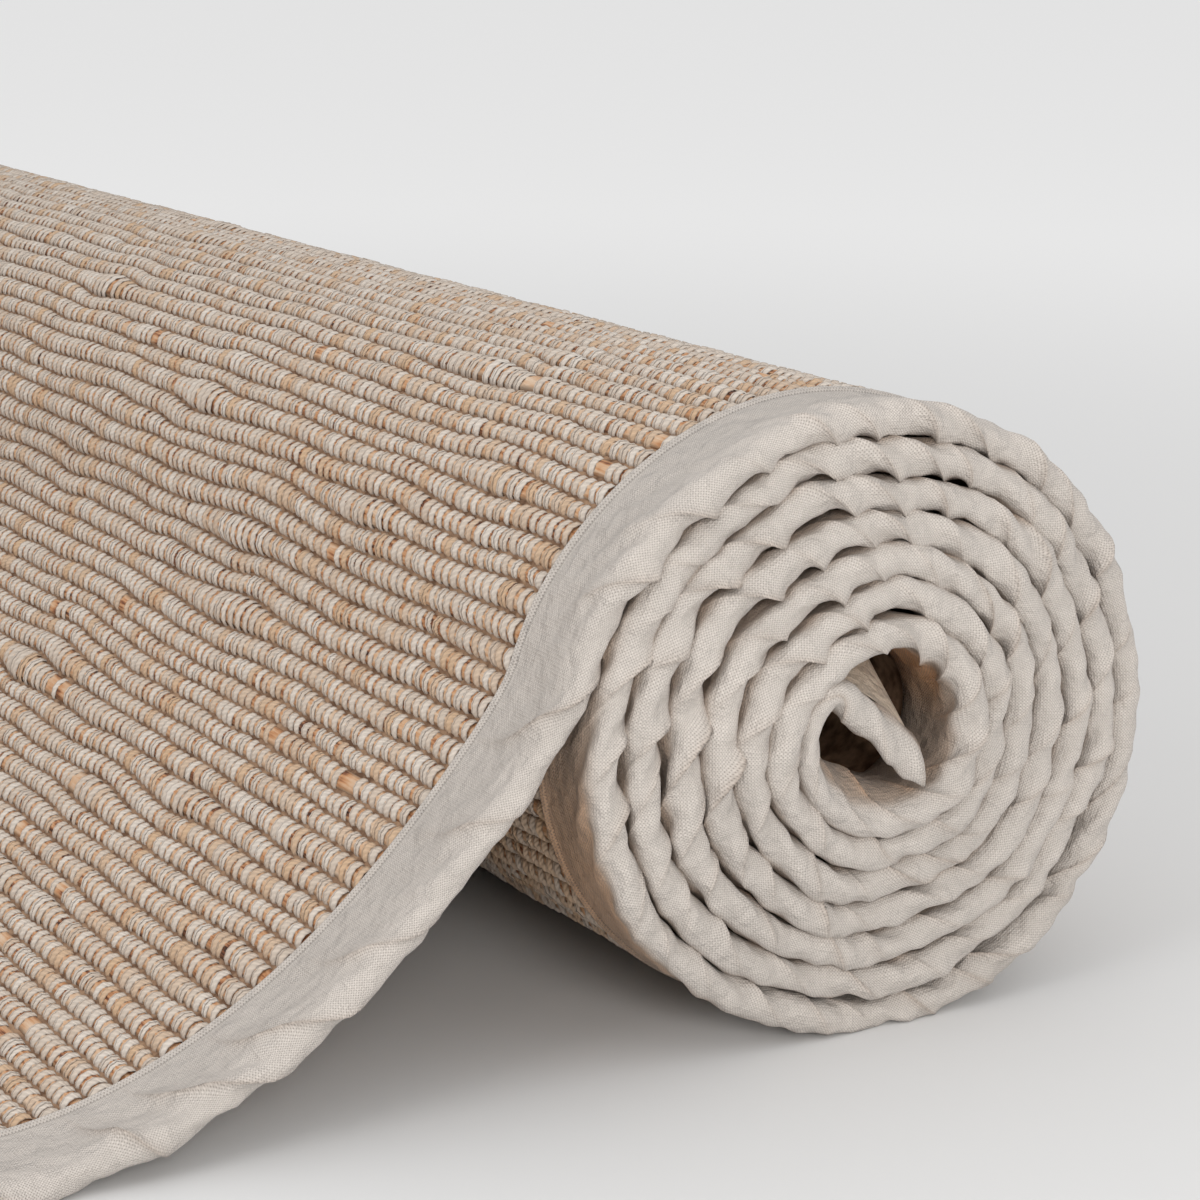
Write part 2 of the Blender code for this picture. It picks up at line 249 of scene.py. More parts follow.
TUCK_MEAN = 0.74
TUCK_SWING = 0.26
TUCK_HIGHEST = math.radians(120.0)
TUCK_SWING_RISE = (0.1, 0.1)
TONGUE_TUCKS_LESS = 0.75
TONGUE_TUCKS_OVER = 0.006
END_STRIP_SEED = 31
END_TUCK_SHARE = 0.5
END_STRIP_SHARE = 0.84
END_STRIP_TUCKED = 0.018

# Small wrinkles and slow swelling of a strip.
WRINKLES = 6
WRINKLE = 0.00085
WRINKLE_LENGTH = 0.0055
WRINKLE_LENGTH_STEP = 0.0021
WRINKLE_SLOPE = 0.2
WRINKLE_SLOPE_STEP = 0.5
SWELL = 0.00022
SWELL_SLOPES = (0.9, 1.3)
SWELL_LENGTHS = (0.047, 0.024)
WRINKLE_AT_HEM = 0.55
WRINKLE_AT_EDGE = 0.45
WRINKLE_REACH = 0.010
INNER_EDGE_THINNED = (0.0001, 0.003, 0.0045)
INNER_EDGE_RISE = (0.0, 0.03)
CORE_PUFF = (0.0056, 6.84, 0.16)
CORE_PUFF_RISE = (0.002, 0.009)

# The tongue's strip.
TONGUE_HALF = 0.0021
TONGUE_HALF_LESS = 0.0007
TONGUE_END_GAP = 0.0005
TONGUE_SIDE_MARGIN = 0.0060
TONGUE_FINE_TO = 0.05
TONGUE_COARSE_FROM = 0.053
TONGUE_THIN_RISE = (0.019, 0.004)
TONGUE_RIPPLE = 0.0004
TONGUE_RIPPLE_LENGTH = 0.011
TONGUE_RIPPLE_SWAY = 2.0
TONGUE_RIPPLE_SWAY_LENGTH = 0.012
TONGUE_RIPPLE_RISE = (0.0, 0.01)
TONGUE_PAINTED_SHADE = 0.15

# Painted warm shade on the cotton, for light that passes through and bounces in the cloth, as a share of the
# way to the warm tone. Bumps are by turn, and rises across the strip.
CORE_PAINTED_WARM_SHADE = (1.0, 6.38, 0.16)
CORE_PAINTED_WARM_SHADE_RISE = (0.003, 0.008)
UNDER_PAINTED_WARM_SHADE = (0.80, 0.93, 0.13)
UNDER_PAINTED_WARM_SHADE_RISE = (0.002, 0.004)
BETWEEN_PAINTED_WARM_SHADE = 0.50
BETWEEN_PAINTED_WARM_SHADE_RISE = (0.003, 0.003)
BETWEEN_PAINTED_WARM_SHADE_TURN_RISE = (0.95, 0.1)

# Colours. The cotton's are its base, its painted shade in a tuck's crease and its painted warm shade.
COTTON_TONES = ((0.605, 0.555, 0.510), (0.40, 0.31, 0.245), (0.64, 0.36, 0.19))
CORE_TONES = ((0.72, 0.61, 0.49), (0.58, 0.44, 0.32), (0.60, 0.33, 0.17))
CORE_WEAVE = 0.35
THREAD_GAP_TONE = (0.24, 0.20, 0.17)
# The yarn's tones by chance value. Their lowest stop also colours the loops under the loose end, partly as
# painted warm shade.
YARN_TONES = (
    (0.0, (0.60, 0.41, 0.26)),
    (0.2, (0.60, 0.505, 0.42)),
    (0.7, (0.645, 0.56, 0.48)),
    (1.0, (0.69, 0.62, 0.55)),
)
YARN_GROOVE_SHADE = (0.26, 0.17, 0.12)
YARN_VALLEY_SHADE_AND_DIRT = (0.20, 0.12, 0.08)
FIBRE_TONES = (
    (0.36, (0.05, 0.02, 0.012)),
    (0.42, (0.22, 0.08, 0.035)),
    (0.49, (0.54, 0.26, 0.12)),
    (0.57, (0.64, 0.40, 0.24)),
    (0.70, (0.70, 0.53, 0.39)),
)
FIBRE_VALLEY_SHADE_AND_DIRT = (0.05, 0.025, 0.012)
GROUND_TONES = ((0.35, (0.14, 0.075, 0.042)), (0.65, (0.38, 0.24, 0.15)))

# Textures. A mottle is its fineness and its amount.
SPECULAR = 0.25
CLOTH_ROUGHNESS = 0.85
CLOTH_SHEEN = 0.1
FIBRE_ROUGHNESS = 0.6
GROUND_ROUGHNESS = 0.8
THREAD_PITCH = 0.00042
THREAD_CONTRAST = 0.07
COTTON_BRIGHT = 0.84
COTTON_MOTTLES = ((300.0, 0.16), (30.0, 0.20))
# Painted shade on the face that shows, away from the nose, where the flat band takes more light.
FACE_PAINTED_SHADE = -0.08
FACE_PAINTED_SHADE_FROM = -0.005
FACE_PAINTED_SHADE_TO = -0.011
SEAM_SHADE = -0.25
SEAM_HALF = 0.0004
THREAD_HEIGHT = 0.025
THREAD_GAP_HEIGHT = -0.06
CRINKLE_FINENESS = 260.0
YARN_BRIGHT = 0.82
YARN_MOTTLE = (900.0, 0.30)
GROOVE_SHARPNESS = 2.5
GROOVE_SHADE_AMOUNT = 0.45
YARN_VALLEY_SHADE_AND_DIRT_AMOUNT = 0.75
PLY_TURNS = 3.5
PLY_PAINTED_HIGHLIGHT = 0.07
PLY_HEIGHT = 0.15
STREAK_STRETCH = (1400.0, 90.0, 1400.0)
STREAK_AMOUNT = 0.50
PATCH_STRETCH = (160.0, 160.0, 160.0)
PATCH_AMOUNT = 0.60
FIBRE_VALLEY_SHADE_AND_DIRT_AMOUNT = 0.9
GROUND_FINENESS = 400.0
GROUND_GRAIN_FINENESS = 700.0

# The stage. A light is its name, its place from the roll's near end, its size, power and colour.
FLOOR_REACH = 30.0
# Near the roll the floor is darkened as painted shade, which fades out to its own pale tone far off.
FLOOR_NEAR_PAINTED_SHADE = (0.74, 0.74, 0.74)
FLOOR_FAR_TONE = (0.97, 0.97, 0.97)
FLOOR_PAINTED_SHADE_FADE = (0.2, 1.1)
SKY_LOW = 0.35
SKY_HIGH = 1.02
LIGHTS = (
    ("key", (-0.45, -1.15, 0.55), 0.40, 4.5, (1.0, 0.985, 0.96)),
    ("fill", (-0.10, -1.10, 0.30), 0.30, 2.0, (1.0, 0.985, 0.96)),
    ("side", (-1.20, -0.30, 0.75), 0.5, 3.0, (1.0, 0.99, 0.98)),
)
LIGHT_TARGET_DEPTH = 0.05
LIGHT_TARGET_HEIGHT = 0.05

# The camera, from the roll's centre at its near end.
CAMERA_PLACE = (-0.3003, -0.4336, 0.1483)
CAMERA_YAW = 29.66
CAMERA_PITCH = 13.43
CAMERA_LENS = 95.93
CAMERA_SENSOR = 36.0


def smooth(value):
    value = np.clip(value, 0.0, 1.0)
    return value * value * (3.0 - 2.0 * value)


def bell(value, centre, reach):
    return np.exp(-((value - centre) / reach) ** 2)


def bump(value, shape):
    amount, centre, reach = shape
    return amount * bell(value, centre, reach)


def risen(value, rise):
    """0 up to the rise's start, and 1 from its end on."""
    start, length = rise
    return smooth((value - start) / length)


# The mat's line.


def turn_angle(t):
    return math.pi - 2.0 * math.pi * t


def slack(t):
    """The outer turns lie loose and bulge out at the lower right."""
    away = (turn_angle(t) - SLACK_ANGLE + math.pi) % (2.0 * math.pi) - math.pi
    bulge = 0.5 * (1.0 + np.cos(math.pi * np.clip(away / SLACK_SPREAD, -1.0, 1.0)))
    return SLACK * bulge * np.exp(-np.maximum(t - SLACK_FADE_FROM, 0.0))


def core_thinning(t):
    """0 along most of the mat, and 1 at its inner end."""
    return smooth((t - TURN_END + CORE_TAPER_FROM) / CORE_TAPER_FROM)


def layer_radius(t):
    """The radius of the mat's middle at this turn."""
    thickness = TURN_PITCH * (1.0 - CORE_TAPER * core_thinning(t))
    return OUTER_RADIUS - TURN_PITCH * (t - 0.5) + slack(t) - 0.5 * thickness


def wound_line(t, rise=0.0):
    angle = turn_angle(t)
    radius = layer_radius(t) + rise
    return np.stack([ROLL_STRETCH * radius * np.cos(angle), radius * np.sin(angle)], axis=1)


OUTER_TURN = np.linspace(TURN_CUT, TURN_CUT + 1.0, 201)
ROLL_HEIGHT = -wound_line(OUTER_TURN, BINDING_HALF)[:, 1].min() - ROLL_SAG


def lengths(points):
    """How far each point lies along the line through them all."""
    steps = np.hypot(*np.diff(points, axis=0).T)
    return np.concatenate([[0.0], np.cumsum(steps)])


def rounded(knots, count):
    """A smooth line near these knots, as evenly spaced points."""
    for _ in range(CORNER_CUTS):
        cut = np.empty((2 * len(knots), 2))
        cut[0] = knots[0]
        cut[-1] = knots[-1]
        cut[1:-1:2] = 0.75 * knots[:-1] + 0.25 * knots[1:]
        cut[2:-1:2] = 0.25 * knots[:-1] + 0.75 * knots[1:]
        knots = cut
    at = lengths(knots)
    steps = np.linspace(0.0, at[-1], count)
    return np.stack([np.interp(steps, at, knots[:, 0]), np.interp(steps, at, knots[:, 1])], axis=1)


def evened(values):
    """Each value as the mean of those about it."""
    window = np.ones(EVENED_POINTS) / EVENED_POINTS
    ends = EVENED_POINTS // 2
    columns = [np.convolve(np.pad(column, ends, mode="edge"), window, mode="valid") for column in values.T]
    return np.stack(columns, axis=1)


class MatLine:
    """The mat's middle line, seen along the roll, and what lies at each distance s on it."""

    def __init__(self):
        turns = np.linspace(TURN_CUT, TURN_END, WOUND_STEPS)
        wound = wound_line(turns)
        self.wound_length = lengths(wound)[-1]
        self.loose_length = MAT_LENGTH - self.wound_length - TONGUE_LENGTH
        loose = self.loose_points(wound)
        tongue = rounded(np.concatenate([wound[-1:], np.array(TONGUE_ROUTE)]), TONGUE_STEPS)
        deep = rounded(np.concatenate([wound[-1:], np.array(DEEP_ROUTE)]), TONGUE_STEPS)
        self.points = np.concatenate([loose[::-1], wound[1:], tongue[1:]])
        self.s = lengths(self.points)
        self.s -= self.s[len(loose) - 1]
        self.turns = np.concatenate([
            np.full(len(loose), TURN_CUT),
            turns[1:],
            np.full(len(tongue) - 1, TURN_END),
        ])
        self.swing = np.zeros_like(self.points)
        self.swing[len(self.s) - len(tongue) + 1:] = (deep - tongue)[1:]
        self.start, self.end = self.s[0], self.s[-1]
        self.tangent = evened(np.gradient(self.points, self.s, axis=0))
        self.turning = evened(np.gradient(self.swing, self.s, axis=0))

    def loose_points(self, wound):
        """The loose end, from the roll down to the floor and along it."""
        start = wound[0]
        leaving = wound[0] - wound[1]
        leaving = leaving / np.hypot(*leaving)
        landing = np.array([start[0] - LAND_REACH, BINDING_HALF - ROLL_HEIGHT])
        u = np.linspace(0.0, 1.0, DROP_STEPS)[:, None]
        drop = (
            (1 - u) ** 3 * start
            + 3 * (1 - u) ** 2 * u * (start + leaving * LEAVE_HANDLE)
            + 3 * (1 - u) * u * u * (landing + np.array([LAND_HANDLE, 0.0]))
            + u ** 3 * landing
        )
        left = self.loose_length - lengths(drop)[-1]
        flat = landing - np.outer(np.linspace(0.0, left, FLAT_STEPS)[1:], np.array([1.0, 0.0]))
        return np.concatenate([drop, flat])

    def turn(self, s):
        return np.interp(s, self.s, self.turns)

    def at(self, s, y):
        """The middle line's point and its normal, towards the face that shows."""
        share = np.clip(y / TONGUE_SWING_DEPTH, 0.0, 1.0)
        point = []
        slope = []
        for axis in range(2):
            point.append(np.interp(s, self.s, self.points[:, axis])
                         + share * np.interp(s, self.s, self.swing[:, axis]))
            slope.append(np.interp(s, self.s, self.tangent[:, axis])
                         + share * np.interp(s, self.s, self.turning[:, axis]))
        size = np.hypot(*slope)
        return point, (-slope[1] / size, slope[0] / size)


LINE = MatLine()

# Where the roll's centre and near end lie in the part, read from a solid that both scripts place.
END_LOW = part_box("loose_binding_end")[0]
CENTRE_X = END_LOW[0] - LINE.points[0, 0]
NEAR_Y = END_LOW[1] - BINDING_WIDTH - BINDING_GAP


def lean(s):
    """The turns stand out in a shallow cone towards the near end, and the loose edge stands back a little."""
    wound = risen(s, CONE_RISE)
    cone = -CONE_SLOPE * (OUTER_RADIUS - layer_radius(LINE.turn(s))) * wound
    return cone + bump(s, LOOSE_EDGE_BACK) - bump(s, OUTER_TURN_OUT)


def crossed_waves(amount, first, second, waves):
    first_rate, first_start, second_rate, second_start = waves
    return amount * np.sin(first_rate * first + first_start) * np.cos(second_rate * second + second_start)


def warp(x, z, t, y):
    """A slow unevenness of the inner turns near their ends, alike in neighbouring turns."""
    amount = WARP * risen(t, WARP_RISE) * (1.0 - risen(y, WARP_GONE_RISE))
    return crossed_waves(amount, x, z, WARP_X_WAVES), crossed_waves(amount, z, x, WARP_Z_WAVES)


def place(s, y, rise, mirrored=False):
    """Points in the part's frame, never below the floor. Mirrored ones are counted from the far edge."""
    s, y, rise = np.broadcast_arrays(s, y, rise)
    inward = MAT_WIDTH - y if mirrored else y
    (x, z), (normal_x, normal_z) = LINE.at(s, inward)
    shift_x, shift_z = warp(x, z, LINE.turn(s), y)
    world_x = CENTRE_X + x + shift_x + normal_x * rise
    world_z = np.maximum(ROLL_HEIGHT + z + shift_z + normal_z * rise, FLOOR_LIFT)
    return np.stack([world_x, NEAR_Y + inward + lean(s), world_z], axis=-1)


# Meshes.


def add_mesh(name, points, quads, material, attributes=None):
    """A piece from arrays of points and four-cornered faces, with named values on its points."""
    mesh = bpy.data.meshes.new(name)
    quads = np.ascontiguousarray(quads, np.int32).reshape(-1, 4)
    points = np.ascontiguousarray(points, np.float32).reshape(-1, 3)
    mesh.vertices.add(len(points))
    mesh.vertices.foreach_set("co", points.ravel())
    mesh.loops.add(quads.size)
    mesh.loops.foreach_set("vertex_index", quads.ravel())
    mesh.polygons.add(len(quads))
    mesh.polygons.foreach_set("loop_start", np.arange(0, quads.size, 4, dtype=np.int32))
    mesh.polygons.foreach_set("use_smooth", np.ones(len(quads), bool))
    mesh.update(calc_edges=True)
    for key, values in (attributes or {}).items():
        layer = mesh.attributes.new(key, "FLOAT_VECTOR", "POINT")
        layer.data.foreach_set("vector", np.ascontiguousarray(values, np.float32).ravel())
    mesh.materials.append(material)
    piece = bpy.data.objects.new(name, mesh)
    bpy.context.scene.collection.objects.link(piece)
    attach(piece, "root")
    return piece


def grid_quads(rows, columns, wrap=False):
    """Faces of a grid of points, rows by columns. A wrapped grid joins its last column to its first."""
    row = np.arange(rows - 1)[:, None]
    column = np.arange(columns if wrap else columns - 1)[None, :]
    after = (column + 1) % columns
    first = row * columns + column
    second = row * columns + after
    return np.stack([first, second, second + columns, first + columns], axis=-1).reshape(-1, 4)


def repeated(quads, points, count):
    """The faces of many alike grids, one after another."""
    return (quads[None] + (np.arange(count) * points)[:, None, None]).reshape(-1, 4)


# Materials.


class Graph:
    """Short names for the nodes of one material."""

    def __init__(self, name, roughness, sheen=0.0):
        self.material = bpy.data.materials.new(name)
        self.material.use_nodes = True
        self.tree = self.material.node_tree
        self.shader = self.tree.nodes["Principled BSDF"]
        self.shader.inputs["Roughness"].default_value = roughness
        self.shader.inputs["Sheen Weight"].default_value = sheen
        self.shader.inputs["Specular IOR Level"].default_value = SPECULAR

    def node(self, kind, **values):
        made = self.tree.nodes.new(kind)
        for key, value in values.items():
            setattr(made, key, value)
        return made

    def feed(self, socket, value):
        if isinstance(value, bpy.types.NodeSocket):
            self.tree.links.new(value, socket)
        else:
            socket.default_value = value

    def math(self, operation, first, second=0.0, third=0.0):
        made = self.node("ShaderNodeMath", operation=operation)
        self.feed(made.inputs[0], first)
        self.feed(made.inputs[1], second)
        self.feed(made.inputs[2], third)
        return made.outputs[0]

    def add(self, first, second):
        return self.math("ADD", first, second)

    def take(self, first, second):
        return self.math("SUBTRACT", first, second)

    def times(self, first, second):
        return self.math("MULTIPLY", first, second)

    def more(self, base, value, amount):
        """The base, and this amount of the value on top."""
        return self.math("MULTIPLY_ADD", value, amount, base)

    def size(self, value):
        return self.math("ABSOLUTE", value)

    def ramped(self, value, low, high):
        """0 below low, 1 above high, and smooth between them."""
        made = self.node("ShaderNodeMapRange", interpolation_type="SMOOTHSTEP")
        self.feed(made.inputs["Value"], value)
        made.inputs["From Min"].default_value = low
        made.inputs["From Max"].default_value = high
        return made.outputs[0]

    def attribute(self, name):
        read = self.node("ShaderNodeAttribute", attribute_name=name)
        parts = self.node("ShaderNodeSeparateXYZ")
        self.feed(parts.inputs[0], read.outputs["Vector"])
        return parts.outputs[0], parts.outputs[1], parts.outputs[2]

    def noise(self, scale, detail=2.0, stretch=(1.0, 1.0, 1.0)):
        mapping = self.node("ShaderNodeMapping")
        mapping.inputs["Scale"].default_value = stretch
        self.feed(mapping.inputs["Vector"], self.node("ShaderNodeTexCoord").outputs["Object"])
        made = self.node("ShaderNodeTexNoise")
        made.inputs["Scale"].default_value = scale
        made.inputs["Detail"].default_value = detail
        self.feed(made.inputs["Vector"], mapping.outputs[0])
        return made.outputs["Fac"]

    def ramp(self, factor, stops):
        made = self.node("ShaderNodeValToRGB")
        band = made.color_ramp
        while len(band.elements) < len(stops):
            band.elements.new(0.5)
        for element, (position, colour) in zip(band.elements, stops):
            element.position = position
            element.color = (*colour, 1.0)
        self.feed(made.inputs[0], factor)
        return made.outputs[0]

    def mix(self, factor, first, second):
        """The first colour where the factor is 0, and the second where it is 1."""
        made = self.node("ShaderNodeMix", data_type="RGBA")
        self.feed(made.inputs[0], factor)
        for socket, colour in ((made.inputs[6], first), (made.inputs[7], second)):
            self.feed(socket, colour if isinstance(colour, bpy.types.NodeSocket) else (*colour, 1.0))
        return made.outputs[2]

    def scaled(self, colour, value):
        """A colour, brighter or darker by a number."""
        made = self.node("ShaderNodeVectorMath", operation="SCALE")
        self.feed(made.inputs[0], colour)
        self.feed(made.inputs["Scale"], value)
        return made.outputs[0]

    def finish(self, colour, height=None, distance=0.0001, strength=0.5):
        """Colour the shader, and raise it by the height, if there is one."""
        self.feed(self.shader.inputs["Base Color"], colour)
        if height is not None:
            raised = self.node("ShaderNodeBump")
            raised.inputs["Distance"].default_value = distance
            raised.inputs["Strength"].default_value = strength
            self.feed(raised.inputs["Height"], height)
            self.feed(self.shader.inputs["Normal"], raised.outputs[0])
        return self.material


def cotton_material(name, tones, weave):
    """Unbleached plain weave, cut on the bias, with its threads shown by the weave's amount.

    The cloth value holds the place along and across the strip, and the painted shade: 0.5 is the shade of a
    crease, 1 the warm shade.
    """
    base, painted_crease_shade, warm = tones
    g = Graph(name, CLOTH_ROUGHNESS, CLOTH_SHEEN)
    along, across, shade = g.attribute("cloth")
    turn = math.pi / THREAD_PITCH / math.sqrt(2.0)
    warp_wave = g.math("COSINE", g.times(g.add(along, across), turn))
    weft_wave = g.math("COSINE", g.times(g.take(along, across), turn))
    gap = g.times(g.take(1.0, g.size(warp_wave)), g.take(1.0, g.size(weft_wave)))
    over = g.times(warp_wave, weft_wave)
    # Painted shade: the cotton darkens towards its crease tone at the tucks, and warms where light bounces in
    # the cloth.
    colour = g.ramp(shade, ((0.0, base), (0.5, painted_crease_shade), (1.0, warm)))
    colour = g.mix(g.times(gap, weave), colour, THREAD_GAP_TONE)
    bright = g.more(COTTON_BRIGHT, over, THREAD_CONTRAST * weave)
    for fineness, amount in COTTON_MOTTLES:
        bright = g.more(bright, g.noise(fineness), amount)
    # Painted shade on the flat band of the face that shows.
    bright = g.more(bright, g.ramped(across, FACE_PAINTED_SHADE_FROM, FACE_PAINTED_SHADE_TO), FACE_PAINTED_SHADE)
    seam = g.size(g.take(g.size(across), HEM_END))
    bright = g.more(bright, g.ramped(seam, SEAM_HALF, 0.0), SEAM_SHADE)
    height = g.more(g.times(gap, THREAD_GAP_HEIGHT * weave), over, THREAD_HEIGHT * weave)
    height = g.add(height, g.noise(CRINKLE_FINENESS, detail=3.0))
    return g.finish(g.scaled(colour, bright), height, distance=0.0030, strength=0.7)


def yarn_material():
    """Off-white cotton warp. The yarn value holds the strand, the way over the rib and a chance value."""
    g = Graph("warp_yarn", CLOTH_ROUGHNESS, CLOTH_SHEEN)
    strand, over, chance = g.attribute("yarn")
    edge = g.take(1.0, g.size(g.math("SINE", g.times(strand, math.pi))))
    groove = g.math("POWER", edge, GROOVE_SHARPNESS)
    # Where a loop sinks into the valley between ribs it darkens: painted shade and dirt.
    valley_shade_and_dirt = g.ramped(g.size(over), 0.50, 1.0)
    ply = g.math("SINE", g.times(g.more(strand, over, PLY_TURNS), 2.0 * math.pi))
    tone = g.ramp(chance, YARN_TONES)
    # Painted shade in the grooves between the strands.
    colour = g.mix(g.times(groove, GROOVE_SHADE_AMOUNT), tone, YARN_GROOVE_SHADE)
    colour = g.mix(g.times(valley_shade_and_dirt, YARN_VALLEY_SHADE_AND_DIRT_AMOUNT), colour, YARN_VALLEY_SHADE_AND_DIRT)
    fineness, amount = YARN_MOTTLE
    # Painted highlights along the twist of the plies.
    bright = g.more(YARN_BRIGHT, ply, PLY_PAINTED_HIGHLIGHT)
    bright = g.more(bright, g.noise(fineness), amount)
    height = g.more(g.times(groove, -1.0), ply, PLY_HEIGHT)
    return g.finish(g.scaled(colour, bright), height, distance=0.00035, strength=0.8)


def fibre_material():
    """Banana fibre: straw to burnt orange, streaked along the ribs, with painted shade and dirt dark in the
    valleys between them.

    The rib value holds the way over the rib, -1 to 1.
    """
    g = Graph("banana_fibre", FIBRE_ROUGHNESS)
    across, _, _ = g.attribute("rib")
    streak = g.noise(1.0, detail=3.0, stretch=STREAK_STRETCH)
    patch = g.noise(1.0, stretch=PATCH_STRETCH)
    colour = g.ramp(g.more(g.times(streak, STREAK_AMOUNT), patch, PATCH_AMOUNT), FIBRE_TONES)
    # Dark in the valleys between ribs: painted shade and dirt.
    valley_shade_and_dirt = g.ramped(g.size(across), 0.45, 0.95)
    colour = g.mix(g.times(valley_shade_and_dirt, FIBRE_VALLEY_SHADE_AND_DIRT_AMOUNT), colour, FIBRE_VALLEY_SHADE_AND_DIRT)
    return g.finish(colour, streak, distance=0.0004, strength=0.8)


def ground_material():
    """The fibre under the ribs and on the mat's hidden turns."""
    g = Graph("ground_fibre", GROUND_ROUGHNESS)
    colour = g.ramp(g.noise(GROUND_FINENESS, detail=3.0), GROUND_TONES)
    return g.finish(colour, g.noise(GROUND_GRAIN_FINENESS), distance=0.0003, strength=0.6)


COTTON = cotton_material("binding_cotton", COTTON_TONES, 1.0)
COTTON_CORE = cotton_material("core_cotton", CORE_TONES, CORE_WEAVE)
YARN = yarn_material()
FIBRE = fibre_material()
GROUND = ground_material()


# The woven field.


class Ribs:
    """Where every rib runs: its middle and its half width at each place across the mat."""

    def __init__(self):
        rng = np.random.default_rng(RIB_SEED)
        self.low = LINE.start + BINDING_WIDTH - FIRST_RIB_UNDER_HEM
        one_turn = np.interp(TURN_CUT + RIBBED_TURNS, LINE.turns, LINE.s)
        self.count = int(round((one_turn - self.low) / RIB_PITCH))
        self.pitch = (one_turn - self.low) / self.count
        first = BINDING_WIDTH - RIB_TABLE_MARGIN
        self.y = np.linspace(first, MAT_WIDTH - BINDING_WIDTH + RIB_TABLE_MARGIN, RIB_TABLE_STEPS)
        growth = self.growth(rng)
        bounds = np.arange(self.count + 1)[:, None] - np.arange(self.count)[None, :] - 0.5
        push = np.sign(bounds) * np.exp(-(np.abs(bounds) - 0.5) / SPREAD_RIBS)
        edges = np.arange(self.count + 1)[:, None] + 0.5 * push @ growth
        edges = self.low + self.pitch * edges
        self.middle = 0.5 * (edges[1:] + edges[:-1])
        self.half = 0.5 * (edges[1:] - edges[:-1])
        self.height = BODY_HEIGHT * (2.0 * self.half / self.pitch) ** RIB_HEIGHT_POWER

    def growth(self, rng):
        """How much thicker each rib is than the pitch: its own thickness, slow changes and slubs."""
        growth = rng.normal(0.0, RIB_UNEVENNESS, self.count)[:, None] * np.ones(len(self.y))
        for rib in range(self.count):
            for wave in RIB_WAVES:
                phase = rng.uniform(0.0, 2.0 * math.pi)
                growth[rib] += RIB_WAVE * np.sin(2.0 * math.pi * self.y / wave + phase)
            for _ in range(rng.poisson(SLUBS_PER_RIB)):
                centre = rng.uniform(*SLUB_PLACES)
                size = rng.uniform(*SLUB_GROWTH)
                reach = rng.uniform(*SLUB_REACH)
                growth[rib] += size * bell(self.y, centre, reach)
        return growth

    def read(self, table, rib, y):
        """A table's values at these ribs and places."""
        place_on = np.clip((y - self.y[0]) / (self.y[1] - self.y[0]), 0.0, len(self.y) - 1.001)
        whole = place_on.astype(int)
        part = place_on - whole
        return table[rib, whole] * (1.0 - part) + table[rib, whole + 1] * part


RIBS = Ribs()
LOOSE_RIBS = int(np.searchsorted(RIBS.middle[:, 0], LAST_LOOSE_RIB))


def rib_bodies(name, ribs, side, steps, around):
    """The fibre cores of some ribs: half tubes on one face of the mat, running under both hems."""
    low = BINDING_WIDTH - HEM_COVER
    y = np.linspace(low, MAT_WIDTH - low, steps)
    angle = np.linspace(-0.5 * math.pi, 0.5 * math.pi, around)
    rib = np.asarray(ribs)[:, None] * np.ones(steps, int)[None, :]
    across = np.broadcast_to(y, rib.shape)
    middle = RIBS.read(RIBS.middle, rib, across)
    half = RIBS.read(RIBS.half, rib, across)
    height = RIBS.read(RIBS.height, rib, across)
    tuck = smooth((np.minimum(across, MAT_WIDTH - across) - low) / HEM_TUCK)
    height = height * (TUCKED_SHARE + FULL_SHARE * tuck)
    s = middle[..., None] + half[..., None] * np.sin(angle)
    rise = side * height[..., None] * np.cos(angle)
    points = place(s, across[..., None], rise)
    values = np.zeros(points.shape)
    values[..., 0] = np.sin(angle)
    quads = repeated(grid_quads(steps, around), steps * around, len(ribs))
    if side < 0:
        quads = quads[:, ::-1]
    return add_mesh(name, points, quads, FIBRE, {"rib": values})


def loop_places(ribs, shift, rng):
    """The rib and the place across the mat of every yarn loop on some ribs. A few are left out."""
    low = BINDING_WIDTH + LOOP_MARGIN
    high = MAT_WIDTH - low
    found = []
    for rib in ribs:
        start = low + LOOP_PITCH * (0.5 * ((rib + shift) % 2) + 0.25)
        y = np.arange(start, high, LOOP_PITCH)
        y = y + rng.normal(0.0, LOOP_CHANCE, len(y))
        keep = rng.random(len(y)) > LOOPS_DROPPED
        found.append(np.stack([np.full(keep.sum(), rib), y[keep]], axis=1))
    found = np.concatenate(found)
    return found[:, 0].astype(int), found[:, 1]


